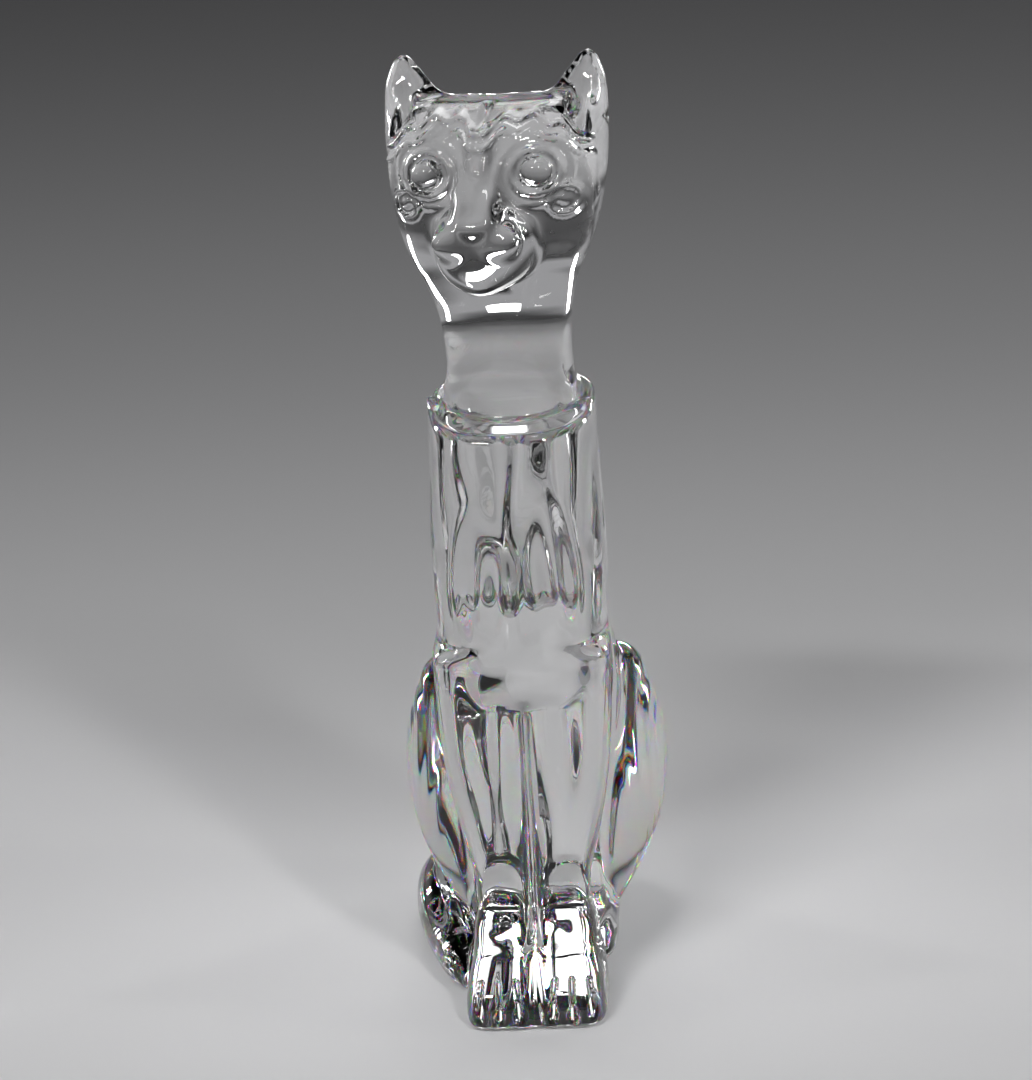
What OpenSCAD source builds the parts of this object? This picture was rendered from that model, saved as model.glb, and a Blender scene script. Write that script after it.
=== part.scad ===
// Seated cat figurine of solid clear crystal, standing on the flats of its paws, belly and tail.
// The cat faces -Y, its own left side is +X, and Z is up from the surface that it stands on.

/* [Body] */
// Height of the shoulders above the base
shoulder_h = 103; // [86:0.2:124]
// Width of the chest and trunk
chest_w = 30; // [25:0.2:37]
// Depth of the chest in front of the body's own axis
chest_front = 29.4; // [25:0.2:34]
// Depth of the back behind the body's own axis, at the shoulders
withers_back = 12; // [10:0.2:15]
// Depth of the whole figurine, from the front paws to the back of the tail
figure_d = 84.4; // [70:0.2:102]
// Height of the line where the chest ends over the forelegs
chest_line_h = 53; // [46:1:58]

/* [Neck and head] */
// Width of the neck at its narrowest
neck_w = 21.2; // [17.6:0.2:26]
// Length of the neck, from the shoulders to the underside of the jaw
neck_len = 15; // [12:0.5:20]
// Width of the head across the cheeks
head_w = 37.2; // [31:0.2:42]
// Height of the head, from the underside of the jaw to the crown
head_h = 35.5; // [30:0.5:43]
// Depth of the head, from the face to the back of the skull
head_d = 32.5; // [28:0.5:39]
// Angle by which the head looks towards the cat's right
head_turn = 7; // [0:1:15]
// Width of the muzzle
muzzle_w = 16.6; // [13.8:0.2:20]
// Distance by which the muzzle stands out of the face
muzzle_out = 9.5; // [8:0.5:11.5]
// Width of an ear at the crown
ear_w = 9.8; // [8:0.2:11]
// Height of an ear's tip above the crown
ear_tip_h = 6.8; // [5.5:0.1:9]
// Diameter of an eye
eye_d = 5.4; // [4.4:0.1:6.5]

/* [Legs] */
// Width of a foreleg above the paw
ankle_w = 9.5; // [8:0.1:11]
// Width of the groove between the forelegs
leg_gap = 0.5; // [0.3:0.1:1]
// Width of a front paw
paw_w = 12; // [10.5:0.1:13.4]
// Length of a front paw as a share of the figurine's depth
paw_share = 0.314; // [0.28:0.002:0.34]
// Height of a front paw at the ankle
paw_h = 14; // [12:0.5:16]
// Width of the figurine across the haunches
haunch_w = 47.2; // [40:0.2:56]
// Height of a haunch
haunch_h = 50; // [41.5:0.5:60]
// Width of a hind paw
hind_paw_w = 9; // [7.6:0.1:10.6]
// Distance by which a hind paw reaches forward, as a share of half the figurine's depth
hind_paw_share = 0.3; // [0.24:0.01:0.34]
// Height of a hind paw
hind_paw_h = 11; // [9:0.5:13]

/* [Tail] */
// Height of the tail at its root
tail_root_h = 11; // [9:0.1:13.4]
// Height of the tail at its tip
tail_tip_h = 8.2; // [7:0.1:9.8]

/* [Surface] */
// Radius of the polished edge round each resting face
base_edge = 1.2; // [0.6:0.1:1.8]
// Number of corners round a section
ring_n = 36; // [24:4:40]

/* [Hidden] */

crystal = [0.86, 0.91, 0.93, 0.45];
half_d = figure_d / 2;
depth_k = half_d / 42;                  // stretches the depths of the trunk and legs with the figurine's
rump_back = half_d - 1.2;
chest_r = chest_w / 2;
neck_r = neck_w / 2;
head_r = head_w / 2;
muzzle_r = muzzle_w / 2;
haunch_r = haunch_w / 2;
jaw_z = shoulder_h + neck_len;
crown_z = jaw_z + head_h;
face_y = -22.5;                         // front of the face under the muzzle
trunk_front = 18 * depth_k;                       // depth of the trunk behind the forelegs
leg_top_z = chest_line_h + 6;           // the foreleg's top, inside the chest

// A section is [z, centre x, half width, front y, widest y, back y, squareness].
// squareness is the exponent of a superellipse: 2 is an ellipse, and more is squarer.
torso_table = [
    for (s = [
        // share of the shoulder height, share of the chest half width, front, widest, back, squareness
        [0.00, 0.85, -trunk_front, 10, rump_back - 3, 2.6],
        [0.10, 0.92, -trunk_front, 10, rump_back - 0.6, 2.6],
        [0.20, 0.95, -trunk_front, 10, rump_back, 2.5],
        [0.30, 1.03, -trunk_front, 9, rump_back - 1.2, 2.5],
        [0.40, 1.07, -trunk_front, 8, rump_back - 4.2, 2.4]
    ]) [s[0] * shoulder_h, 0, s[1] * chest_r, s[2], s[3], s[4], s[5]],
    [chest_line_h - 4.5, 0, 1.06 * chest_r, -trunk_front - 2.5, 4, rump_back - 7.8, 2.4],
    [chest_line_h, 0, 1.03 * chest_r, 1.8 - chest_front, 0, rump_back - 10, 2.6],
    for (s = [
        // share of the way from the chest line to the shoulders, then as above
        [0.15, 1.00, 0.3 - chest_front, -4, 0.54, 2.8],
        [0.35, 1.00, -chest_front, -6, 0.39, 3],
        [0.55, 0.99, 0.5 - chest_front, -6, 0.25, 3],
        [0.75, 0.96, 2.4 - chest_front, -5, 0.12, 2.9],
        [0.90, 0.93, 5.6 - chest_front, -4, 0.04, 2.7],
        [1.00, 0.90, 9 - chest_front, -3.5, 0, 2.5]
    ]) [
        chest_line_h + s[0] * (shoulder_h - chest_line_h), 0, s[1] * chest_r, s[2], s[3],
        withers_back + s[4] * (rump_back - withers_back), s[5]
    ]
];

neck_table = [
    [shoulder_h - 6, 0, neck_r + 1.6, -18, -3, withers_back - 1.5, 2.2],
    [shoulder_h + 0.15 * neck_len, 0, neck_r + 0.4, -15.6, -3, withers_back - 2.4, 2.1],
    [shoulder_h + 0.55 * neck_len, 0, neck_r, -14.4, -3, withers_back - 3, 2.1],
    [shoulder_h + neck_len, 0, neck_r + 0.5, -14.8, -3, withers_back - 3, 2.1],
    [shoulder_h + neck_len + 6, 0, neck_r + 0.9, -15.5, -3, withers_back - 3, 2.1]
];

head_back = head_d + face_y;            // back of the skull
head_table = [
    for (s = [
        // share of the head's height, share of its half width, front, widest, back, squareness
        [0.00, 0.61, 7.4, 0.44, -1.2, 2.1],
        [0.14, 0.715, 5.2, 0.46, -0.6, 2.2],
        [0.31, 0.86, 2.4, 0.50, 0, 2.3],
        [0.48, 0.945, 0.5, 0.55, 0, 2.3],
        [0.65, 0.99, 0, 0.58, -0.8, 2.3],
        [0.82, 0.985, 2.0, 0.60, -3, 2.4],
        [1.00, 0.90, 6.5, 0.60, -7, 2.6]
    ]) [
        jaw_z + s[0] * head_h, 0, s[1] * head_r, face_y + s[2],
        face_y + s[3] * head_d, head_back + s[4], s[5]
    ]
];

muzzle_z = jaw_z + 0.16 * head_h;       // underside of the chin
muzzle_table = [
    for (s = [
        // rise above the chin, share of the muzzle's half width, share of how far it stands out, squareness
        [0, 0.46, 0.56, 2],
        [1, 0.62, 0.70, 2.05],
        [2.4, 0.80, 0.82, 2.1],
        [4.6, 0.95, 0.91, 2.15],
        [7.5, 1.01, 0.97, 2.2],
        [10.5, 0.97, 1.00, 2.2],
        [13, 0.80, 0.96, 2.1],
        [15.5, 0.54, 0.80, 2],
        [20, 0.38, 0.44, 2],
        [24, 0.36, 0.12, 2]
    ]) [
        muzzle_z + s[0], 0, s[1] * muzzle_r, face_y - s[2] * muzzle_out, face_y + 2, face_y + 9, s[3]
    ]
];

ear_x = head_r - ear_w / 2 + 0.5;       // middle of the ear where it meets the crown
ear_table = [
    for (s = [
        // height above the crown, shift of the middle, share of the width, front, widest, back, squareness
        [-12, -1.6, 0.86, -8.5, -3, 4, 2.2],
        [-6, -0.6, 1.02, -8.4, -3, 3.4, 2.2],
        [-1.5, 0, 1.00, -6.6, -2.4, 2.4, 2.1],
        [0.35 * ear_tip_h, 0.9, 0.74, -5.0, -1.8, 1.6, 2],
        [0.72 * ear_tip_h, 1.5, 0.44, -3.4, -1.2, 0.8, 2],
        [ear_tip_h, 1.7, 0.2, -2.2, -0.8, 0.3, 2]
    ]) [crown_z + s[0], ear_x + s[1], s[2] * ear_w / 2, s[3], s[4], s[5], s[6]]
];

eye_r = eye_d / 2;
eye_table = [
    for (s = [-1, 1]) let (y = face_y + 2)
        [jaw_z + 0.71 * head_h + 0.9 * s * eye_r, 0.49 * head_r, eye_r, y - eye_r, y, y + eye_r, 2]
];

// The hollow in the front of an ear.
hollow_table = [
    for (s = [
        // height above the crown, shift of the middle, share of the ear's width, front, back
        [-7, -0.4, 0.50, -14, -8.8],
        [-3, 0.2, 0.60, -14, -5.6],
        [0.2 * ear_tip_h, 0.6, 0.46, -14, -4.0],
        [0.62 * ear_tip_h, 1.4, 0.18, -14, -2.6]
    ]) [crown_z + s[0], ear_x + s[1], s[2] * ear_w / 2, s[3], (s[3] + s[4]) / 2, s[4], 2]
];

foreleg_w = chest_r;                    // width of a foreleg where it leaves the chest
foreleg_table = [
    for (s = [
        // height, width, front, back
        [0.6 * paw_h, ankle_w + 0.4, -32, -17],
        [0.9 * paw_h, ankle_w, -31, -16],
        [0.35 * leg_top_z, ankle_w + 0.2, -29.4, -14],
        [0.46 * leg_top_z, ankle_w + 0.3 * (foreleg_w - ankle_w), -28.7, -13.5],
        [0.60 * leg_top_z, ankle_w + 0.62 * (foreleg_w - ankle_w), -28.2, -13],
        [0.76 * leg_top_z, ankle_w + 0.88 * (foreleg_w - ankle_w), -27.8, -12.5],
        [leg_top_z, foreleg_w, -27.4, -12]
    ]) [
        s[0], (s[1] + leg_gap) / 2, s[1] / 2,
        s[2] * depth_k, (s[2] + s[3]) / 2 * depth_k, s[3] * depth_k, 2.5
    ]
];

paw_back = paw_share * figure_d - half_d;
front_paw_table = [
    for (s = [
        // share of the height, share of the width, front, squareness
        [0, 1.00, 0, 3.6],
        [0.28, 0.99, 0.2, 3.4],
        [0.52, 0.94, 2.2, 3.2],
        [0.76, 0.88, 6, 3],
        [1, 0.82, 10.4, 2.7]
    ]) [
        s[0] * paw_h, (leg_gap + s[1] * paw_w) / 2, s[1] * paw_w / 2,
        s[2] - half_d, (s[2] - half_d + paw_back) / 2, paw_back, s[3]
    ]
];

haunch_x = chest_r - 3.4;               // middle of the haunch's lens, inside the trunk
haunch_out = haunch_r - haunch_x;
haunch_table = [
    for (s = [
        // share of the height, share of how far it stands out, front, widest, back, squareness
        [0.03, 0.08, 3, 13, 25, 2],
        [0.11, 0.20, -1, 13, 28.5, 2],
        [0.21, 0.47, -5.5, 13, 33.5, 2.05],
        [0.33, 0.73, -8.6, 13, 36, 2.1],
        [0.42, 0.87, -9.4, 13, 36.5, 2.1],
        [0.50, 0.95, -9.4, 13, 36.2, 2.1],
        [0.60, 1.00, -8.6, 13, 35.2, 2.1],
        [0.72, 0.975, -5.8, 13, 33, 2.1],
        [0.84, 0.86, -2, 13, 29.6, 2.1],
        [0.93, 0.72, 2, 13, 26.5, 2.1],
        [1.00, 0.62, 5, 13, 23, 2.1]
    ]) [
        s[0] * haunch_h, haunch_x, s[1] * haunch_out,
        s[2] * depth_k, s[3] * depth_k, s[4] * depth_k, s[5]
    ]
];

hind_paw_x = chest_r - 6.2;             // middle of the hind paw
hind_paw_table = [
    for (s = [
        // share of the height, share of the width, front
        [0, 1.00, 0],
        [0.3, 1.00, 0.1],
        [0.6, 0.92, 1.6],
        [1, 0.70, 6]
    ]) [s[0] * hind_paw_h, hind_paw_x, s[1] * hind_paw_w / 2, s[2] - hind_paw_share * half_d, 0, 14 * depth_k, 2.4]
];

// The tail lies on the base, from its root behind the rump to its tip beside the right front paw.
tail_clear = 0.2;                       // the tail doesn't quite touch what the cat stands on
tail_root_r = 0.5 * (tail_root_h - tail_clear);
tail_x = haunch_r - tail_root_r;        // middle of the tail where it lies widest
tail_y = half_d - tail_root_r;          // middle of the tail where it lies furthest back
tail_bend = 0.44 * half_d;              // depth of the curve round the rump
tail_in = tail_x - (leg_gap / 2 + paw_w - 0.9);     // how far the tip comes in, to the front paw
tail_run = tail_y - tail_bend + 0.56 * half_d;      // length of the part that lies along the side
tail_route = [
    // x, y, share of the way from the root's height to the tip's
    [haunch_x - 1.4, tail_y - 0.50 * tail_bend, 0],
    [0.34 * tail_x, tail_y - 0.22 * tail_bend, 0],
    [0.10 * tail_x, tail_y - 0.05 * tail_bend, 0],
    for (t = [10:16:90])
        [-tail_x * sin(t), tail_y - tail_bend * (1 - cos(t)), t / 1500],
    for (s = [0.16:0.15:0.91])
        [tail_in * s * s - tail_x, tail_y - tail_bend - s * tail_run, 0.06 + 0.94 * s * s]
];
tail_tip = [tail_in - tail_x, tail_y - tail_bend - tail_run];       // middle of the tip's last section

function power(v, e) = sign(v) * pow(abs(v), 2 / e);

// The smooth slope of a table at its row i, from the rows on either side.
function slope(t, i) =
    let (a = t[max(0, i - 1)], b = t[min(len(t) - 1, i + 1)])
    (b - a) / (b[0] - a[0]);

// The table's section at height z, on a smooth curve through its rows.
function section(t, z, i = 0) =
    i < len(t) - 2 && z > t[i + 1][0]
    ? section(t, z, i + 1)
    : let (h = t[i + 1][0] - t[i][0], u = (z - t[i][0]) / h)
      t[i] * (1 + 2 * u) * (1 - u) * (1 - u) + slope(t, i) * h * u * (1 - u) * (1 - u)
      + t[i + 1] * u * u * (3 - 2 * u) - slope(t, i + 1) * h * u * u * (1 - u);

// The share of a section that is left at height z where the end of a skin is rounded.
// An end is [height of the rounding, share of the section that it takes away].
function rounded(z, end_z, end) =
    let (u = end[0] <= 0 ? 0 : max(0, 1 - abs(z - end_z) / end[0]))
    1 - end[1] * (1 - sqrt(1 - min(1, u * u)));

function ring(t, z, low, high) =
    let (
        s = section(t, z),
        k = rounded(z, t[0][0], low) * rounded(z, t[len(t) - 1][0], high)
    )
    [for (i = [0:ring_n - 1])
        let (c = cos(360 * i / ring_n), q = sin(360 * i / ring_n))
        [
            s[1] + k * s[2] * power(c, s[6]),
            s[4] + k * (q < 0 ? s[4] - s[3] : s[5] - s[4]) * power(q, s[6]),
            s[0]
        ]];

// The solid between two rings, which lie flat and bulge everywhere.
module slab(a, b) {
    hull() polyhedron(
        points = concat(a, b),
        faces = [[for (i = [len(a) - 1:-1:0]) i], [for (i = [0:len(b) - 1]) len(a) + i]]
    );
}

// A smooth solid through a table's sections, in steps that are closer together near its ends.
module skin(t, steps, low = [0, 0], high = [0, 0]) {
    z0 = t[0][0];
    z1 = t[len(t) - 1][0];
    levels = [for (k = [0:steps]) z0 + (z1 - z0) * (1 - cos(180 * k / steps)) / 2];
    for (k = [1:steps])
        slab(ring(t, levels[k - 1], low, high), ring(t, levels[k], low, high));
}

// The closed solid inside a row of rings that may lean against each other.
module tube(rings) {
    n = len(rings[0]);
    m = len(rings);
    polyhedron(
        points = [for (r = rings) each r],
        faces = [
            [for (i = [n - 1:-1:0]) i],
            [for (i = [0:n - 1]) (m - 1) * n + i],
            for (k = [0:m - 2], i = [0:n - 1]) let (a = k * n + i, b = k * n + (i + 1) % n)
                each [[a, b, a + n], [b, b + n, a + n]]
        ],
        convexity = 4
    );
}

// Everything on the head turns with it about the neck.
module on_head() {
    translate([0, -3, 0]) rotate([0, 0, -head_turn]) translate([0, 3, 0]) children();
}

module torso_form() {
    skin(torso_table, 24, [base_edge, 0.09], [3, 0.16]);
}

module neck_form() {
    skin(neck_table, 10);
}

module head_form() {
    on_head() skin(head_table, 18, [0, 0], [7, 0.72]);
}

module muzzle_form() {
    on_head() skin(muzzle_table, 14, [1, 0.3], [3, 0.4]);
}

module ear_form() {
    skin(ear_table, 12, [2, 0.2], [1.6, 0.8]);
}

module eye_form() {
    skin(eye_table, 8, [0.9 * eye_r, 0.86], [0.9 * eye_r, 0.86]);
}

module hollow_form() {
    skin(hollow_table, 8, [3, 0.6], [1.5, 0.4]);
}

module foreleg_form() {
    skin(foreleg_table, 12);
}

// The grooves between the toes of a paw that is w wide and h high, with its front at y and its middle at x.
module toe_grooves(x, y, w, h, count) {
    for (k = [1:count])
        translate([x + (k / (count + 1) - 0.5) * 0.86 * w, y, 0.62 * h])
            rotate([-52, 0, 0]) rotate([0, 0, 45])
                cube([1.1, 1.1, 1.5 * h], center = true);
}

module front_paw_form() {
    skin(front_paw_table, 10, [base_edge, 0.12], [3, 0.3]);
}

module haunch_form() {
    skin(haunch_table, 18, [3, 0.5], [3, 0.6]);
}

module hind_paw_form() {
    skin(hind_paw_table, 10, [base_edge, 0.14], [3, 0.5]);
}

// A section of the tail at the point p, across the direction d, with the radius r and the height h.
function tail_ring(p, d, r, h) =
    let (side = [d[1], -d[0]] / norm(d))
    [for (i = [0:ring_n - 1])
        let (c = r * cos(360 * i / ring_n), q = sin(360 * i / ring_n))
        [p[0] + side[0] * c, p[1] + side[1] * c, tail_clear + 0.5 * h * (1 + q)]];

module tail_form() {
    last = len(tail_route) - 1;
    rings = [
        for (k = [0:last])
            let (
                p = tail_route[k],
                a = tail_route[max(0, k - 1)],
                b = tail_route[min(last, k + 1)],
                h = tail_root_h + p[2] * (tail_tip_h - tail_root_h)
            )
            tail_ring([p[0], p[1]], [b[0] - a[0], b[1] - a[1]], 0.5 * (h - tail_clear), h - tail_clear),
        let (p = tail_route[last], d = tail_tip - [p[0], p[1]])
            tail_ring([p[0], p[1]] + 0.6 * d, d, 0.38 * tail_tip_h, 0.82 * tail_tip_h),
        let (p = tail_route[last], d = tail_tip - [p[0], p[1]])
            tail_ring(tail_tip, d, 0.2 * tail_tip_h, 0.56 * tail_tip_h)
    ];
    tube(rings);
}

// A form of the cat's left side is mirrored to make the same form of its right side.
module on_side(side) {
    mirror([side == "right" ? 1 : 0, 0, 0]) children();
}

module on_both_sides() {
    on_side("left") children();
    on_side("right") children();
}

module torso() {
    color(crystal) difference() {
        torso_form();
        on_both_sides() hind_paw_form();
    }
}

module neck() {
    color(crystal) difference() {
        neck_form();
        torso_form();
        head_form();
    }
}

module head() {
    color(crystal) difference() {
        head_form();
        on_head() on_both_sides() eye_form();
    }
}

module muzzle() {
    color(crystal) difference() {
        muzzle_form();
        head_form();
    }
}

module ear(side) {
    color(crystal) difference() {
        on_head() on_side(side) ear_form();
        head_form();
        on_head() on_side(side) hollow_form();
    }
}

module eye(side) {
    color(crystal) on_head() on_side(side) eye_form();
}

module foreleg(side) {
    color(crystal) difference() {
        on_side(side) foreleg_form();
        torso_form();
        on_side(side) front_paw_form();
    }
}

module front_paw(side) {
    color(crystal) difference() {
        on_side(side) front_paw_form();
        on_side(side) toe_grooves((paw_w + leg_gap) / 2, -half_d, paw_w, paw_h, 3);
        torso_form();
    }
}

module haunch(side) {
    color(crystal) difference() {
        on_side(side) haunch_form();
        torso_form();
        on_side(side) hind_paw_form();
    }
}

module hind_paw(side) {
    color(crystal) on_side(side) hind_paw_form();
}

module tail() {
    color(crystal) difference() {
        tail_form();
        torso_form();
        on_side("right") {
            haunch_form();
            hind_paw_form();
            front_paw_form();
        }
    }
}

torso();
neck();
head();
muzzle();
ear("left");  // left_ear
ear("right");  // right_ear
eye("left");  // left_eye
eye("right");  // right_eye
foreleg("left");  // left_foreleg
foreleg("right");  // right_foreleg
front_paw("left");  // left_front_paw
front_paw("right");  // right_front_paw
haunch("left");  // left_haunch
haunch("right");  // right_haunch
hind_paw("left");  // left_hind_paw
hind_paw("right");  // right_hind_paw
tail();
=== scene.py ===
"""Looks of the seated cat of clear crystal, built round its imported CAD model.

The real figurine is one polished mass of glass. Its masses are written here as distance fields, sized
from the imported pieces' boxes and a few values of their own, and melted into each other as pressed glass
is. They are cut near the creases where the CAD pieces meet, but the head's cut lies lower, inside the
neck. Each cut piece is a closed mesh that replaces its CAD piece. The cuts inside the glass are
perfectly clear, so light passes from piece to piece as it does through one mass.
"""

import math

import bpy
import numpy as np
from mathutils import Matrix, Vector


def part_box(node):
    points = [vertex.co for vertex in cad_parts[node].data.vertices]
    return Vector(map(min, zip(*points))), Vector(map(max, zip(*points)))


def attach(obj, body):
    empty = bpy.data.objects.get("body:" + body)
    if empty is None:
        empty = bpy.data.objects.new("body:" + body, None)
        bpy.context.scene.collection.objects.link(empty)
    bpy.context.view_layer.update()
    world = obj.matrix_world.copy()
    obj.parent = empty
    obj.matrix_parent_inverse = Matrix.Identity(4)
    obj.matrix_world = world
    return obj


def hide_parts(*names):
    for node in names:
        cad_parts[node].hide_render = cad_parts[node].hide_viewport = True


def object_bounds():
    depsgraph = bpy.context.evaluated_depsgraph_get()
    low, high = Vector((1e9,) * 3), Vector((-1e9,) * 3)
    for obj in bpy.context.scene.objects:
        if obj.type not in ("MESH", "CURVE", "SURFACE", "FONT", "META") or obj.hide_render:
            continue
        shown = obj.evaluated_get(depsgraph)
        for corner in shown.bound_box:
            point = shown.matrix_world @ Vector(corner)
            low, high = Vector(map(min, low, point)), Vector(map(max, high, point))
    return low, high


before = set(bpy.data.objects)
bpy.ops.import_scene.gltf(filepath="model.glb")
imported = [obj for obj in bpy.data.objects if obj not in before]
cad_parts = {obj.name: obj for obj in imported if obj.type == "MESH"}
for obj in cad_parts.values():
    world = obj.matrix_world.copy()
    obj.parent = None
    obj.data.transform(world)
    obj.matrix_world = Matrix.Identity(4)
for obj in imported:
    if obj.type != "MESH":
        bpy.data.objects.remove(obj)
cad_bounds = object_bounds()

MM = 0.001
FAR = 30.0  # a field's value where it isn't worked out, in mm
STEP = 0.6  # spacing of the sampling grid, in mm
MARGIN = 3 * STEP
NEAR_SKIN = 5.0  # how far from the surface the small shapes are still worked out, in mm
GLASS_INDEX = 1.55
HAUNCH_FIRE = 0.024  # how much more the haunches bend blue light than red
WAVE_DEPTH = 0.07  # of the waves in the trunk, in mm
RING_DEPTH = 0.045  # of the rings on the haunches, in mm
EYE_SQUASH = 0.9  # an eyeball's height over its width


# ---------------------------------------------------------------- sizes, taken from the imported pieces

def box(node):
    """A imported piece's lowest and highest corners, in mm."""
    low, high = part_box(node)
    return np.array(low) / MM, np.array(high) / MM


torso_low, torso_high = box("torso")
head_low, head_high = box("head")
paw_low, paw_high = box("left_front_paw")
foreleg_high = box("left_foreleg")[1]
haunch_low, haunch_high = box("left_haunch")
hind_low, hind_high = box("left_hind_paw")
tail_low, tail_high = box("tail")
ear_high = box("left_ear")[1]
eye_low, eye_high = box("left_eye")

HEAD_TURN = 7.0  # degrees that the head looks towards the cat's right
HEAD_PIVOT_Y = -3.0

shoulder_z = torso_high[2]
chest_r = 0.935 * torso_high[0]
chest_front = torso_low[1]
rump_back = torso_high[1]
half_depth = -paw_low[1]
jaw_z, crown_z = head_low[2], head_high[2]
head_h = crown_z - jaw_z
head_r = (head_high[0] - head_low[0]) / 2
face_y = -22.5
skull_y = 10.0
head_depth = skull_y - face_y
neck_r = 10.6
chest_line = foreleg_high[2] - 6
leg_gap = 2 * paw_low[0]
paw_r = (paw_high[0] - paw_low[0]) / 2
paw_h = paw_high[2]
haunch_r = haunch_high[0]
haunch_h = haunch_high[2] + 0.1
muzzle_z = jaw_z + 0.16 * head_h
ear_tip = ear_high[2] - crown_z


# ---------------------------------------------------------------- distance fields

def smin(a, b, k):
    """The lower of two fields, melted together over about k mm."""
    h = np.maximum(k - np.abs(a - b), 0) / k
    return np.minimum(a, b) - h * h * k / 4


def smax(a, b, k):
    return -smin(-a, -b, k)


def ball(x, y, z, centre, radii):
    """A field that is 0 on an ellipsoid and close to true distance near it."""
    u = [(p - c) / r for p, c, r in zip((x, y, z), centre, radii)]
    k = np.sqrt(sum(p * p for p in u))
    g = np.sqrt(sum((p / r) ** 2 for p, r in zip(u, radii))) + 1e-9
    return k * (k - 1) / g


def bar(x, y, z, a, b, ra, rb=None):
    """A round bar from a to b, with a radius at each end."""
    rb = ra if rb is None else rb
    a, b = np.array(a, float), np.array(b, float)
    d = b - a
    t = ((x - a[0]) * d[0] + (y - a[1]) * d[1] + (z - a[2]) * d[2]) / (d @ d)
    t = np.clip(t, 0, 1)
    gap = np.sqrt((x - a[0] - t * d[0]) ** 2 + (y - a[1] - t * d[1]) ** 2 + (z - a[2] - t * d[2]) ** 2)
    return gap - (ra + t * (rb - ra))


def loft(rows, low, high):
    """A field round smooth sections. A row is z, centre x, half width, front y, widest y, back y, and
    squareness: 2 is an ellipse, and more is squarer. low and high round the two ends, in mm."""
    rows = np.array(rows, float)
    z = rows[:, 0]
    before, after = np.maximum(np.arange(len(z)) - 1, 0), np.minimum(np.arange(len(z)) + 1, len(z) - 1)
    slope = (rows[after] - rows[before]) / (z[after] - z[before])[:, None]
    fine = np.linspace(z[0], z[-1], 240)
    i = np.clip(np.searchsorted(z, fine) - 1, 0, len(z) - 2)
    h = (z[i + 1] - z[i])[:, None]
    u = (fine - z[i])[:, None] / h
    table = (
        rows[i] * (1 + 2 * u) * (1 - u) ** 2
        + slope[i] * h * u * (1 - u) ** 2
        + rows[i + 1] * u * u * (3 - 2 * u)
        - slope[i + 1] * h * u * u * (1 - u)
    )

    def field(x, y, zz):
        zc = np.clip(zz, z[0], z[-1])
        cx, half, front, widest, back, e = (np.interp(zc, fine, table[:, c]) for c in range(1, 7))
        depth = np.where(y < widest, widest - front, back - widest)
        u = np.maximum(np.abs(x - cx) / half, 1e-4)
        v = np.maximum(np.abs(y - widest) / depth, 1e-4)
        r = (u**e + v**e) ** (1 / e)
        g = r ** (1 - e) * np.hypot(u ** (e - 1) / half, v ** (e - 1) / depth)
        d = (r - 1) / g
        return smax(smax(d, z[0] - zz, low), zz - z[-1], high)

    return field


def smooth_route(points, per_step=4):
    """Places on a smooth curve through the points, whose columns may hold more than a place."""
    p = np.array(points, float)
    p = np.vstack([2 * p[0] - p[1], p, 2 * p[-1] - p[-2]])
    out = []
    for a, b, c, d in zip(p[:-3], p[1:-2], p[2:-1], p[3:]):
        for u in np.arange(per_step) / per_step:
            out.append(
                b + 0.5 * u * (c - a + u * (2 * a - 5 * b + 4 * c - d + u * (3 * (b - c) + d - a)))
            )
    return np.array(out + [p[-2]])


def tube(points):
    """A field round a smooth route. A point is x, y, z and the radius there."""
    route = smooth_route(points)

    def field(x, y, z):
        best = np.full(np.shape(x), FAR)
        for a, b in zip(route[:-1], route[1:]):
            best = np.minimum(best, bar(x, y, z, a[:3], b[:3], a[3], b[3]))
        return best

    return field


# ---------------------------------------------------------------- the masses of the cat

def torso_rows():
    low_front = -18.0
    rows = [
        # share of the shoulder height, share of the chest's half width, front, widest, back, squareness
        (0.00, 0.85, low_front, 10, rump_back - 3, 2.6),
        (0.10, 0.92, low_front, 10, rump_back - 0.6, 2.6),
        (0.20, 0.95, low_front, 10, rump_back, 2.5),
        (0.30, 1.03, low_front, 9, rump_back - 1.2, 2.5),
        (0.40, 1.07, low_front, 8, rump_back - 4.2, 2.4),
    ]
    rows = [(s * shoulder_z, 0, w * chest_r, f, m, b, e) for s, w, f, m, b, e in rows]
    rows += [
        (chest_line - 4.5, 0, 1.06 * chest_r, low_front - 2.5, 4, rump_back - 7.8, 2.4),
        (chest_line, 0, 1.03 * chest_r, chest_front + 1.8, 0, rump_back - 10, 2.8),
    ]
    withers = 12.0
    upper = [
        # share of the way from the chest line to the shoulders, then as above
        (0.15, 1.00, 0.3, -4, 0.54, 3.1),
        (0.35, 1.00, 0.0, -6, 0.39, 3.3),
        (0.55, 0.99, 0.5, -6, 0.25, 3.3),
        (0.75, 0.97, 1.6, -5, 0.12, 3.2),
        (0.90, 0.955, 3.4, -4, 0.04, 3.1),
        (1.00, 0.935, 5.6, -3.5, 0, 3.0),
    ]
    rise = shoulder_z - chest_line
    rows += [
        (chest_line + s * rise, 0, w * chest_r, chest_front + f, m, withers + b * (rump_back - withers), e)
        for s, w, f, m, b, e in upper
    ]
    return rows


neck_length = jaw_z - shoulder_z
neck_rows = [
    (shoulder_z - 8, 0, neck_r + 1.6, -18, -3, 10.5, 2.2),
    (shoulder_z + 0.15 * neck_length, 0, neck_r + 0.4, -15.6, -3, 9.6, 2.1),
    (shoulder_z + 0.55 * neck_length, 0, neck_r, -14.4, -3, 9, 2.1),
    (shoulder_z + neck_length, 0, neck_r - 0.2, -14.0, -3, 9, 2.1),
    (shoulder_z + neck_length + 9, 0, neck_r, -14.4, -3, 8, 2.1),
]

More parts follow.
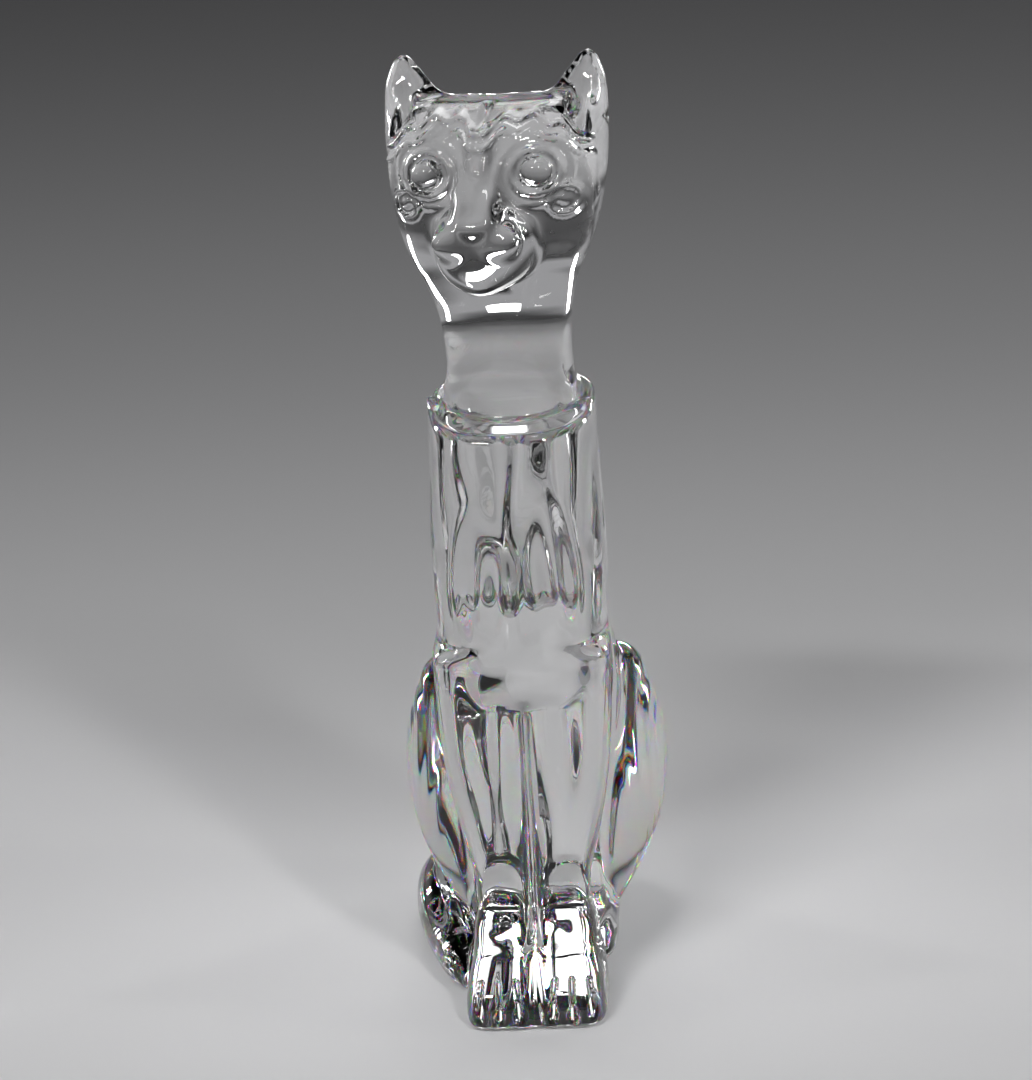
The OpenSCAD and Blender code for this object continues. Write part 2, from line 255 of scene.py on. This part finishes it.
head_rows = [
    (jaw_z + s * head_h, 0, w * head_r, face_y + f, face_y + m * head_depth, skull_y + b, e)
    for s, w, f, m, b, e in [
        # share of the head's height, share of its half width, front, widest, back, squareness
        (-0.40, 0.30, 14, 0.44, -6, 2.1),
        (-0.20, 0.43, 11.5, 0.44, -4, 2.1),
        (0.00, 0.565, 8.4, 0.44, -1.8, 2.1),
        (0.14, 0.69, 5.4, 0.46, -0.6, 2.2),
        (0.31, 0.855, 2.4, 0.50, 0, 2.3),
        (0.48, 0.945, 0.5, 0.55, 0, 2.3),
        (0.65, 0.99, 0, 0.58, -0.8, 2.3),
        (0.82, 0.985, 2.0, 0.60, -3, 2.4),
        (1.00, 0.93, 6.5, 0.60, -7, 2.6),
    ]
]

muzzle_r = 8.3
muzzle_out = 9.5
muzzle_rows = [
    (muzzle_z + r, 0, w * muzzle_r, face_y - out * muzzle_out, face_y + 2, face_y + 9, e)
    for r, w, out, e in [
        # rise above the chin, share of the muzzle's half width, share of how far it stands out, squareness
        (0, 0.30, 0.50, 2),
        (0.9, 0.54, 0.68, 2.05),
        (2.4, 0.78, 0.81, 2.1),
        (4.6, 0.94, 0.90, 2.15),
        (7.5, 1.02, 0.97, 2.2),
        (10.5, 0.98, 1.00, 2.2),
        (13, 0.80, 0.97, 2.1),
        (15.5, 0.50, 0.80, 2),
        (20, 0.32, 0.44, 2),
        (27, 0.30, 0.12, 2),
    ]
]

ear_x = head_r - 4.4
ear_r = 4.9
ear_rows = [
    (crown_z + h, ear_x + cx, w * ear_r, front, widest, back, e)
    for h, cx, w, front, widest, back, e in [
        # height over the crown, lean outwards, share of the ear's half width, front, widest, back, squareness
        (-14, -1.6, 0.86, -8.5, -3, 4, 2.2),
        (-6, -0.6, 1.02, -8.4, -3, 3.4, 2.2),
        (-1.5, 0, 1.00, -6.6, -2.4, 2.4, 2.1),
        (0.35 * ear_tip, 0.9, 0.76, -5.0, -1.8, 1.6, 2),
        (0.72 * ear_tip, 1.5, 0.46, -3.4, -1.2, 0.8, 2),
        (ear_tip, 1.7, 0.2, -2.2, -0.8, 0.3, 2),
    ]
]

foreleg_w = chest_r
ankle_w = 9.5
leg_top = foreleg_high[2]
foreleg_rows = [
    (z, (w + leg_gap) / 2, w / 2, front, (front + back) / 2, back, 3.0)
    for z, w, front, back in [
        # height, width, front, back
        (0.45 * paw_h, ankle_w + 0.4, -32, -17),
        (0.9 * paw_h, ankle_w, -31, -16),
        (0.35 * leg_top, ankle_w + 0.2, -29.4, -14),
        (0.46 * leg_top, ankle_w + 0.3 * (foreleg_w - ankle_w), -28.7, -13.5),
        (0.60 * leg_top, ankle_w + 0.62 * (foreleg_w - ankle_w), -28.2, -13),
        (0.76 * leg_top, ankle_w + 0.88 * (foreleg_w - ankle_w), -27.8, -12.5),
        (leg_top + 3, foreleg_w, -27.4, -12),
    ]
]

paw_back = paw_high[1]
paw_rows = [
    (s * paw_h, leg_gap / 2 + w * paw_r, w * paw_r, front, (front + paw_back) / 2, paw_back, e)
    for s, w, front, e in [
        # share of the paw's height, share of its half width, front, squareness
        (0, 1.00, -half_depth, 3.8),
        (0.28, 0.985, 0.3 - half_depth, 3.6),
        (0.52, 0.94, 2.4 - half_depth, 3.4),
        (0.76, 0.87, 6 - half_depth, 3.1),
        (1.1, 0.80, 11.5 - half_depth, 2.8),
    ]
]

haunch_x = chest_r - 3.4
haunch_out = haunch_r - haunch_x
haunch_rows = [
    (s * haunch_h, haunch_x, w * haunch_out, front, 13, back, e)
    for s, w, front, back, e in [
        # share of the haunch's height, share of how far it bulges, front, back, squareness
        (0.03, 0.08, 3, 25, 2),
        (0.11, 0.20, -1, 28.5, 2),
        (0.21, 0.47, -5.5, 33.5, 2.05),
        (0.33, 0.73, -8.6, 36, 2.1),
        (0.42, 0.87, -9.4, 36.5, 2.1),
        (0.50, 0.95, -9.4, 36.2, 2.1),
        (0.60, 1.00, -8.6, 35.2, 2.1),
        (0.72, 0.975, -5.8, 33, 2.1),
        (0.84, 0.86, -2, 29.6, 2.1),
        (0.93, 0.72, 2, 26.5, 2.1),
        (1.00, 0.62, 5, 23, 2.1),
    ]
]

hind_x = (hind_low[0] + hind_high[0]) / 2
hind_r = (hind_high[0] - hind_low[0]) / 2
hind_h = hind_high[2]
hind_rows = [
    (s * hind_h, hind_x, w * hind_r, front + hind_low[1], 0, 14, 2.4)
    for s, w, front in [(0, 1.00, 0), (0.3, 1.00, 0.1), (0.6, 0.92, 1.6), (1, 0.70, 6)]
]

tail_r = 5.4
tail_x = -tail_low[0] - tail_r
tail_y = tail_high[1] - tail_r
tail_bend = 0.44 * half_depth
tail_in = tail_x - (leg_gap / 2 + 2 * paw_r - 0.9)
tail_run = tail_y - tail_bend + 0.56 * half_depth
tail_route = [
    # place in plan, and the radius there: behind the rump, round the bend, and forward beside the paws
    (0.56 * tail_x, tail_y - 0.50 * tail_bend, 5.2),
    (0.34 * tail_x, tail_y - 0.22 * tail_bend, 5.2),
    (0.1 * tail_x, tail_y - 0.05 * tail_bend, 5.3),
]
tail_route += [
    (-tail_x * math.sin(t), tail_y - tail_bend * (1 - math.cos(t)), 5.35)
    for t in np.radians(range(10, 91, 16))
]
tail_route += [
    (tail_in * s * s - tail_x, tail_y - tail_bend - s * tail_run, 5.3 - 1.6 * s * s)
    for s in (0.16, 0.31, 0.46, 0.61, 0.76, 0.88)
]
tail_route += [(tail_in - tail_x, tail_y - tail_bend - 0.97 * tail_run, 2.6)]

torso_field = loft(torso_rows(), 1.2, 0.1)
neck_column = loft(neck_rows, 1, 1)
head_field = loft(head_rows, 1, 7)
muzzle_field = loft(muzzle_rows, 0.8, 4)
ear_field = loft(ear_rows, 2, 1.2)
foreleg_field = loft(foreleg_rows, 2, 2)
paw_field = loft(paw_rows, 1.4, 3)
haunch_field = loft(haunch_rows, 3, 3)
hind_field = loft(hind_rows, 1.4, 4)
tail_field = tube([(x, y, 0.98 * r, r) for x, y, r in tail_route])

turn = math.radians(HEAD_TURN)


def to_head(x, y):
    """Places in the head's own frame, in which the face looks along -Y."""
    c, s = math.cos(turn), math.sin(turn)
    return c * x - s * (y - HEAD_PIVOT_Y), s * x + c * (y - HEAD_PIVOT_Y) + HEAD_PIVOT_Y


eye_r = (eye_high[2] - eye_low[2]) / (2 * EYE_SQUASH)
eye_radii = (eye_r, eye_r, EYE_SQUASH * eye_r)
eye_at = (0.49 * head_r, face_y + 2, (eye_low[2] + eye_high[2]) / 2)


def neck_field(x, y, z):
    """The neck, whose nape runs down into the back."""
    return smin(neck_column(x, y, z), ball(x, y, z, (0, 3.4, shoulder_z - 2), (10.5, 8.9, 14)), 3)


def shoulder_top(x, y, z):
    """The shallow ledge that the neck rises from: lower in front, and a little higher at its sides."""
    top = shoulder_z - 2.2 + 0.9 * np.clip(np.abs(x) / (0.9 * chest_r), 0, 1.2) ** 2 + 0.06 * (y + 4)
    return z - np.minimum(top, shoulder_z + 0.2)


def torso(x, y, z):
    """The trunk, with its shoulder blades, spine, flanks and breastbone."""
    ax = np.abs(x)
    d = torso_field(x, y, z)
    # shoulder blades, and the hollow that opens downwards between them
    d = smin(d, bar(ax, y, z, (6.8, 8.8, 96), (8.4, 17.2, 71), 4.4, 4.6), 3)
    d = smax(d, -bar(ax, y, z, (0, 15.6, 99), (3.6, 27.0, 64), 2.4, 3.6), 2.5)
    d = smin(d, bar(x, y, z, (0, 10.0, 99), (0, 27.0, 55), 1.6, 2.4), 2)
    # the flank's groove behind the foreleg
    d = smax(d, -bar(ax, y, z, (chest_r + 1.6, -9.5, 14), (chest_r + 2.8, -8.0, 96), 4.4, 2.2), 2.2)
    # the breastbone, between two shallow hollows
    d = smax(d, -ball(ax, y, z, (8.2, chest_front - 9.0, 76), (6.4, 10.6, 20)), 3)
    return smax(d, shoulder_top(x, y, z), 1.6)


def web(x, y, z):
    """The glass that joins the forelegs and the paws behind the groove between them."""
    legs = smax(smax(np.abs(x) - 4, np.abs(y + 19.5) - 7.5, 1), np.abs(z - 30) - 28, 1)
    front = -half_depth + 1.1 + 0.075 * z * z
    paws = smax(smax(np.abs(x) - 2, front - y, 1), smax(y + 16, np.abs(z - 4) - 6, 1), 1)
    return np.minimum(legs, paws)


def on_left(field):
    """A field made for the cat's left side, used on both sides."""
    return lambda x, y, z: field(np.abs(x), y, z)


def on_head(field):
    def turned(x, y, z):
        hx, hy = to_head(x, y)
        return field(hx, hy, z)

    return turned


def eye_field(x, y, z):
    return ball(x, y, z, eye_at, eye_radii)


# Each mass: its field, the box that it lies in, and how far it melts into the masses before it.
MASSES = {
    "torso": (torso, (torso_low, torso_high), 0),
    "haunch": (on_left(haunch_field), (haunch_low * (-1, 1, 1) - (12, 0, 0), haunch_high), 1.6),
    "foreleg": (on_left(foreleg_field), ((-16, -34, 3), (16, -8, leg_top + 4)), 2.4),
    "front_paw": (on_left(paw_field), ((-13, paw_low[1], 0), (13, paw_high[1] + 1, paw_h + 2)), 2.6),
    "hind_paw": (on_left(hind_field), ((-15, hind_low[1], 0), (15, 16, hind_h)), 1.4),
    "neck": (neck_field, ((-14, -19, shoulder_z - 9), (14, 12, jaw_z + 10)), 1.3),
    "head": (on_head(head_field), (head_low - (0, 0, 15), head_high), 5.0),
    "muzzle": (on_head(muzzle_field), ((-16, -36, muzzle_z - 1), (12, -8, muzzle_z + 27)), 2.4),
    "ear": (on_head(on_left(ear_field)), ((-21, -12, crown_z - 15), (21, 8, crown_z + ear_tip)), 2.6),
    "tail": (tail_field, (tail_low, tail_high), 0.8),
}
MELT_BOX = 7.0  # how far outside its box a mass still melts into its neighbours, in mm


def ridge(distance, width, height):
    return height * np.exp(-((distance / width) ** 2))


def face_relief(ax, z):
    """How far the face stands out over its plain form, in mm: rings round the eyes, an oval beside the
    nose, cheeks and brows, less the forehead's groove."""
    ex, _, ez = eye_at
    around = np.hypot(ax - ex, (z - ez) / 0.94)
    out = ridge(around - eye_r - 1.2, 0.7, 0.9) + ridge(around - eye_r - 3.2, 0.75, 0.5)
    out = out + ridge(np.hypot((ax - 2.7) / 1.7, (z - ez + 3.6) / 3.8), 0.85, 1.3)
    cheek = np.hypot(ax - 13.4, z - ez + 5.2)
    out = out + ridge(cheek - 2.4, 0.65, 0.8) + ridge(cheek, 1.1, 0.9)
    for rise in (6.4, 8.6):
        out = out + ridge(z - ez - rise + 0.045 * (ax - 6.5) ** 2 + 0.5 * np.sin(1.3 * ax), 0.6, 0.6)
    return out - ridge(ax, 0.8, 0.9) * np.clip((z - ez - 1.5) / 2, 0, 1)


def details(x, y, z, d):
    """The solid's field d near its surface, with the small shapes pressed into it."""
    hx, hy = to_head(x, y)
    ax = np.abs(hx)
    # sockets and eyeballs
    ex, ey, ez = eye_at
    socket = ball(ax, hy, z, (ex + 0.3, ey - 2.8, ez - 0.2), (5.2, 3.4, 4.0))
    d = smax(d, -socket, 1.6)
    d = smin(d, ball(ax, hy, z, (ex, ey + 0.3, ez), eye_radii), 0.4)
    on_face = np.clip((-9 - hy) / 3, 0, 1) * np.clip((z - muzzle_z - 6) / 3, 0, 1)
    d = d - on_face * face_relief(ax, z)
    # nose pad
    nose_z = muzzle_z + 12.0
    d = smin(d, ball(hx, hy, z, (0, face_y - 8.0, nose_z), (3.0, 2.0, 1.5)), 1.4)
    d = smin(d, ball(ax, hy, z, (3.7, face_y - 6.6, nose_z - 2.6), (3.7, 2.9, 2.8)), 1.6)
    # hollow fronts of the ears
    hollow = bar(
        ax, hy, z, (ear_x + 0.2, -9.6, crown_z - 4.5), (ear_x + 1.5, -4.9, crown_z + 0.66 * ear_tip), 2.7, 0.8
    )
    d = smax(d, -hollow, 0.8)
    # the groove between the forelegs, and between the toes
    cx = np.abs(x)
    groove = smax(smax(cx - 0.35, y + 25.5, 0.5), smax(z - chest_line + 1.5, paw_h - 2 - z, 1.5), 1.5)
    d = smax(d, -groove, 1.4)
    for k in (-1, 0, 1):
        toe_x = leg_gap / 2 + paw_r + k * 0.46 * paw_r
        lean = 0.15 * k
        toe = bar(
            cx, y, z, (toe_x + lean * 6, -half_depth - 0.6, 1.2), (toe_x, -half_depth + 4.6, 0.5 * paw_h), 0.7
        )
        d = smax(d, -toe, 0.8)
    # the faint waves that pressing leaves in the trunk and haunches
    low = np.clip((shoulder_z - 2 - z) / 6, 0, 1) * np.clip((z - 16) / 6, 0, 1)
    wave = np.sin(0.8 * x + 1.1 * np.sin(0.11 * z) + 0.3) * np.sin(0.16 * z + 0.5)
    wave = wave + 0.7 * np.sin(0.5 * y + 0.2 * z)
    d = d - WAVE_DEPTH * low * wave
    # the rings that run round each haunch
    beside = np.clip((cx - chest_r - 0.5) / 2, 0, 1) * np.clip((y + 10) / 3, 0, 1)
    beside = beside * np.clip((z - 11) / 3, 0, 1) * np.clip((haunch_h + 1 - z) / 3, 0, 1)
    rings = np.cos(2.2 * np.hypot(y - 13, (z - 0.56 * haunch_h) / 1.15))
    return d - RING_DEPTH * beside * rings


def flat_base(d, z):
    return smax(d, -z, 0.8)


def melt(fields):
    """The whole cat from its masses' fields, in the order of MASSES."""
    whole = None
    for name, (_, _, k) in MASSES.items():
        whole = fields[name] if whole is None else smin(whole, fields[name], k)
    return whole


def solid(x, y, z):
    """The whole cat's field at a list of places."""
    fields = {name: field(x, y, z) for name, (field, _, _) in MASSES.items()}
    fields["torso"] = smin(fields["torso"], web(x, y, z), 1)
    return flat_base(details(x, y, z, melt(fields)), z)


# ---------------------------------------------------------------- sampling the fields on a grid

grid_low = np.array(cad_bounds[0]) / MM - MARGIN
grid_high = np.array(cad_bounds[1]) / MM + MARGIN
grid_low[2] = -MARGIN
axes = [np.arange(a, b + STEP, STEP, dtype=np.float32) for a, b in zip(grid_low, grid_high)]
shape = tuple(len(a) for a in axes)


def sample(field, low, high):
    """A mass's field on the grid, and FAR away from its box."""
    out = np.full(shape, FAR, np.float32)
    span = [
        slice(*np.searchsorted(a, (lo - MELT_BOX, hi + MELT_BOX))) for a, lo, hi in zip(axes, low, high)
    ]
    x, y, z = np.meshgrid(*(a[s] for a, s in zip(axes, span)), indexing="ij")
    out[tuple(span)] = field(x, y, z)
    return out


fields = {name: sample(field, *limits) for name, (field, limits, _) in MASSES.items()}
web_grid = sample(web, (-4, -half_depth, 0), (4, -12, 60))
fields["torso"] = smin(fields["torso"], web_grid, 1)
whole = melt(fields)
gx, gy, gz = np.meshgrid(*axes, indexing="ij")
near = np.abs(whole) < NEAR_SKIN
whole[near] = details(gx[near], gy[near], gz[near], whole[near])
whole = flat_base(whole, gz)

# ---------------------------------------------------------------- which piece each place belongs to

PIECES = [
    "torso", "neck", "head", "muzzle", "left_ear", "right_ear", "left_eye", "right_eye",
    "left_foreleg", "right_foreleg", "left_front_paw", "right_front_paw",
    "left_haunch", "right_haunch", "left_hind_paw", "right_hind_paw", "tail",
]
NUMBER = {name: i + 1 for i, name in enumerate(PIECES)}

# A mass earlier in this list keeps the glass that it shares with a later one.
ORDER = ["hind_paw", "torso", "head", "neck", "muzzle", "ear", "front_paw", "foreleg", "haunch", "tail"]
TWINS = {"ear", "foreleg", "front_paw", "haunch", "hind_paw"}

label = np.zeros(shape, np.int8)
nearest = np.full(shape, FAR, np.float32)
for name in ORDER:
    take = (label == 0) & (fields[name] < 0) | (fields[name] < nearest) & (nearest > 0)
    side = to_head(gx, gy)[0] if name == "ear" else gx
    if name in TWINS:
        label[take & (side >= 0)] = NUMBER["left_" + name]
        label[take & (side < 0)] = NUMBER["right_" + name]
    else:
        label[take] = NUMBER[name]
    nearest = np.minimum(nearest, fields[name])
hx, hy = to_head(gx, gy)
in_eye = eye_field(np.abs(hx), hy, gz) < 0.25
label[in_eye & (hx >= 0)] = NUMBER["left_eye"]
label[in_eye & (hx < 0)] = NUMBER["right_eye"]
label[whole >= 0] = 0
del fields, nearest, in_eye, near, hx, hy

# ---------------------------------------------------------------- meshes of the pieces

cells = tuple(n - 1 for n in shape)
total = np.zeros(cells + (3,), np.float32)
count = np.zeros(cells, np.int16)
quads, fronts, backs = [], [], []
edges = []
for axis in range(3):
    lower = [slice(None)] * 3
    upper = [slice(None)] * 3
    lower[axis], upper[axis] = slice(0, -1), slice(1, None)
    lower, upper = tuple(lower), tuple(upper)
    at = np.argwhere(label[lower] != label[upper])
    to = at.copy()
    to[:, axis] += 1
    la, lb = label[tuple(at.T)], label[tuple(to.T)]
    da, db = whole[tuple(at.T)], whole[tuple(to.T)]
    cross = np.where((la == 0) != (lb == 0), da / np.where(da == db, 1, da - db), 0.5)
    point = at.astype(np.float32)
    point[:, axis] += np.clip(cross, 0.02, 0.98)
    others = [a for a in range(3) if a != axis]
    ring = []
    for du, dv in ((0, 0), (-1, 0), (-1, -1), (0, -1)):
        cell = at.copy()
        cell[:, others[0]] += du
        cell[:, others[1]] += dv
        ring.append(cell)
        good = np.all((cell >= 0) & (cell < cells), axis=1)
        index = tuple(cell[good].T)
        np.add.at(total, index, point[good])
        np.add.at(count, index, 1)
    edges.append((axis, ring, la, lb))

number = np.full(cells, -1, np.int32)
used = count > 0
number[used] = np.arange(used.sum())
verts = (total[used] / count[used][:, None]) * STEP + grid_low
for axis, ring, la, lb in edges:
    quad = np.stack([number[tuple(np.clip(c, 0, np.array(cells) - 1).T)] for c in ring], axis=1)
    if axis == 1:
        quad = quad[:, ::-1]
    quads.append(quad)
    fronts.append(la)
    backs.append(lb)
quads, fronts, backs = np.concatenate(quads), np.concatenate(fronts), np.concatenate(backs)
outer = (fronts == 0) | (backs == 0)
del total, count, number, edges, whole, label, gx, gy, gz

skin = np.zeros(len(verts), bool)
skin[quads[outer].ravel()] = True


def relax(points, faces, moving, share):
    """Moves each moving point a share of the way to the middle of its faces."""
    middle = points[faces].mean(1)
    total, count = np.zeros_like(points), np.zeros(len(points))
    for corner in range(4):
        np.add.at(total, faces[:, corner], middle)
        np.add.at(count, faces[:, corner], 1)
    moving = moving & (count > 0)
    points[moving] += share * (total[moving] / count[moving][:, None] - points[moving])


def gradient(p, h=0.06):
    """The whole field's slope at a list of places."""
    out = np.empty_like(p)
    for axis in range(3):
        a, b = p.copy(), p.copy()
        a[:, axis] -= h
        b[:, axis] += h
        out[:, axis] = (solid(*b.T) - solid(*a.T)) / (2 * h)
    return out


def settle(points, moving, rounds):
    """Brings the moving points onto the field's surface."""
    for _ in range(rounds):
        p = points[moving]
        g = gradient(p)
        size = np.maximum((g * g).sum(1), 0.05)
        step = -(solid(*p.T) / size)[:, None] * g
        length = np.maximum(np.linalg.norm(step, axis=1), 1e-9)
        step *= np.minimum(1, 0.5 * STEP / length)[:, None]
        points[moving] = p + step


relax(verts, quads[outer], skin, 0.5)
settle(verts, skin, 2)
relax(verts, quads[outer], skin, 0.4)
settle(verts, skin, 2)
for _ in range(6):
    relax(verts, quads[~outer], ~skin, 0.6)
verts[skin & (verts[:, 2] < 0), 2] = 0
slope = gradient(verts[skin])
slope /= np.maximum(np.linalg.norm(slope, axis=1), 1e-9)[:, None]
normals = np.zeros_like(verts)
normals[skin] = slope


def piece_mesh(name, crystal, clear):
    """One closed piece of the cat: its polished skin, and the clear cuts where it joins its neighbours."""
    me = NUMBER[name]
    mine = (fronts == me) | (backs == me)
    faces = np.where((fronts[mine] == me)[:, None], quads[mine], quads[mine][:, ::-1])
    used, index = np.unique(faces, return_inverse=True)
    faces = index.reshape(faces.shape)
    mesh = bpy.data.meshes.new(name)
    mesh.from_pydata((verts[used] * MM).tolist(), [], faces.tolist())
    mesh.materials.append(crystal)
    mesh.materials.append(clear)
    inner = ~outer[mine]
    mesh.polygons.foreach_set("material_index", inner.astype(np.int32))
    mesh.polygons.foreach_set("use_smooth", np.ones(len(faces), bool))
    mesh.update()
    corner = normals[used][faces]
    flat = np.empty(len(faces) * 3, np.float32)
    mesh.polygons.foreach_get("normal", flat)
    corner[inner] = flat.reshape(-1, 1, 3)[inner]
    mesh.normals_split_custom_set(corner.reshape(-1, 3).tolist())
    piece = bpy.data.objects.new("glass_" + name, mesh)
    bpy.context.scene.collection.objects.link(piece)
    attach(piece, "root")
    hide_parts(name)
    return piece


# ---------------------------------------------------------------- materials

def new_material(name):
    material = bpy.data.materials.new(name)
    material.use_nodes = True
    nodes, links = material.node_tree.nodes, material.node_tree.links
    nodes.clear()
    return material, nodes, links


def crystal_material(name, fire):
    """Polished crystal. fire is how much more it bends blue light than red. Without it the glass is one
    plain shader, and with it three, one for each colour."""
    material, nodes, links = new_material(name)
    output = nodes.new("ShaderNodeOutputMaterial")
    whole = None
    bands = [((1, 0, 0, 1), -0.5), ((0, 1, 0, 1), 0), ((0, 0, 1, 1), 0.5)]
    if not fire:
        bands = [((1, 1, 1, 1), 0)]
    for colour, share in bands:
        glass = nodes.new("ShaderNodeBsdfGlass")
        glass.inputs["Color"].default_value = colour
        glass.inputs["Roughness"].default_value = 0.0
        glass.inputs["IOR"].default_value = GLASS_INDEX + share * fire
        if whole is None:
            whole = glass
        else:
            both = nodes.new("ShaderNodeAddShader")
            links.new(whole.outputs[0], both.inputs[0])
            links.new(glass.outputs[0], both.inputs[1])
            whole = both
    links.new(whole.outputs[0], output.inputs["Surface"])
    return material


def clear_material():
    """The cuts inside the glass, which pass light straight on."""
    material, nodes, links = new_material("clear_cut")
    output = nodes.new("ShaderNodeOutputMaterial")
    through = nodes.new("ShaderNodeBsdfTransparent")
    links.new(through.outputs[0], output.inputs["Surface"])
    return material


def stage_material():
    material, nodes, links = new_material("studio_floor")
    output = nodes.new("ShaderNodeOutputMaterial")
    paint = nodes.new("ShaderNodeBsdfPrincipled")
    paint.inputs["Base Color"].default_value = (0.62, 0.62, 0.63, 1)
    paint.inputs["Roughness"].default_value = 0.8
    links.new(paint.outputs[0], output.inputs["Surface"])
    return material


crystal = crystal_material("lead_crystal", 0)
fiery = crystal_material("lens_crystal", HAUNCH_FIRE)
clear = clear_material()
for name in PIECES:
    piece_mesh(name, fiery if "haunch" in name else crystal, clear)

# ---------------------------------------------------------------- stage, light and camera

FLOOR_Z = -0.0002  # a hair under the glass, so that the two faces don't fight


def studio_floor(radius=3.0, sides=96):
    """A plain pale floor that reaches past the view on every side."""
    mesh = bpy.data.meshes.new("studio_floor")
    rim = [
        (radius * math.cos(2 * math.pi * k / sides), radius * math.sin(2 * math.pi * k / sides), FLOOR_Z)
        for k in range(sides)
    ]
    mesh.from_pydata(rim, [], [tuple(range(sides))])
    mesh.materials.append(stage_material())
    floor = bpy.data.objects.new("studio_floor", mesh)
    bpy.context.scene.collection.objects.link(floor)


def softbox(name, at, size, watts, aim, spread=180):
    """A lamp with a rectangular face at a place in metres. spread is in degrees: less is a narrower beam."""
    light = bpy.data.lights.new(name, "AREA")
    light.spread = math.radians(spread)
    light.shape = "RECTANGLE"
    light.size, light.size_y = size
    light.energy = watts
    lamp = bpy.data.objects.new(name, light)
    bpy.context.scene.collection.objects.link(lamp)
    lamp.location = at
    lamp.rotation_euler = (Vector(aim) - Vector(at)).to_track_quat("-Z", "Y").to_euler()


def world_light():
    """A pale band just over a dark horizon, and a dark room above it, which puts the dark streaks in the
    glass."""
    world = bpy.data.worlds.new("studio_air")
    bpy.context.scene.world = world
    world.use_nodes = True
    nodes, links = world.node_tree.nodes, world.node_tree.links
    background = nodes["Background"]
    where = nodes.new("ShaderNodeTexCoord")
    split = nodes.new("ShaderNodeSeparateXYZ")
    shade = nodes.new("ShaderNodeValToRGB")
    links.new(where.outputs["Generated"], split.inputs[0])
    links.new(split.outputs["Z"], shade.inputs["Fac"])
    links.new(shade.outputs["Color"], background.inputs["Color"])
    # the sine of the height over the horizon, and the grey there
    stops = [(0.0, 0.03), (0.06, 0.30), (0.15, 0.30), (0.28, 0.01), (0.85, 0.008), (1.0, 0.08)]
    ramp = shade.color_ramp
    ramp.elements[0].position, ramp.elements[1].position = stops[0][0], stops[-1][0]
    for at, _ in stops[1:-1]:
        ramp.elements.new(at)
    for element, (_, grey) in zip(ramp.elements, stops):
        element.color = (grey, grey, 1.03 * grey, 1)
    background.inputs["Strength"].default_value = 1.0


def camera():
    """The view from a little above, just off the cat's left, with the camera rolled a little."""
    distance, elevation, azimuth, roll = 0.700, math.radians(15), math.radians(3), math.radians(3.3)
    frame_height = 0.1888  # how much the view spans from top to bottom at the cat, in metres
    aim_right, aim_up = -0.0012, 0.0045  # the view's middle, from the point 70 mm up the cat's axis
    sensor = 36.0
    back = Vector((math.sin(azimuth), -math.cos(azimuth), 0)) * math.cos(elevation)
    back.z = math.sin(elevation)
    right = Vector((math.cos(azimuth), math.sin(azimuth), 0))
    up = back.cross(right)
    right, up = (
        math.cos(roll) * right - math.sin(roll) * up,
        math.cos(roll) * up + math.sin(roll) * right,
    )
    middle = Vector((0, 0, 0.070)) + right * aim_right + up * aim_up
    lens = bpy.data.cameras.new("camera")
    lens.sensor_fit = "VERTICAL"
    lens.sensor_height = sensor
    lens.lens = sensor * distance / frame_height
    lens.clip_start, lens.clip_end = 0.01, 20
    eye = bpy.data.objects.new("camera", lens)
    bpy.context.scene.collection.objects.link(eye)
    eye.matrix_world = Matrix.Translation(middle + back * distance) @ Matrix(
        (right, up, back)
    ).transposed().to_4x4()
    bpy.context.scene.camera = eye


studio_floor()
softbox("front_key", (-0.30, -0.70, 0.80), (0.30, 0.06), 4.8, (0, 0.16, 0.02))
softbox("front_fill", (0.34, -0.66, 0.72), (0.06, 0.26), 2.5, (0, 0.16, 0.02))
softbox("overhead", (0.0, 0.05, 0.90), (0.10, 0.30), 1.0, (0, 0, 0.05))
for side, sign in (("left", -1), ("right", 1)):
    softbox(side + "_strip", (sign * 0.44, 0.40, 0.24), (0.06, 0.46), 0.07, (0, 0, 0.12), 20)
for side, sign in (("left", -1), ("right", 1)):
    softbox(side + "_edge", (sign * 0.60, -0.10, 0.28), (0.03, 0.50), 0.05, (0, 0, 0.12), 20)
softbox("back_low", (0.0, 0.98, 0.17), (1.0, 0.06), 0.06, (0, 0, 0.08), 20)
softbox("back_panel", (0.0, 0.72, 0.72), (0.60, 0.42), 0.12, (0, 0, 0.09), 40)
world_light()
camera()
bpy.context.scene.view_settings.view_transform = "Standard"
bpy.context.scene.cycles.max_bounces = 24
bpy.context.scene.cycles.transmission_bounces = 20
bpy.context.scene.cycles.transparent_max_bounces = 64
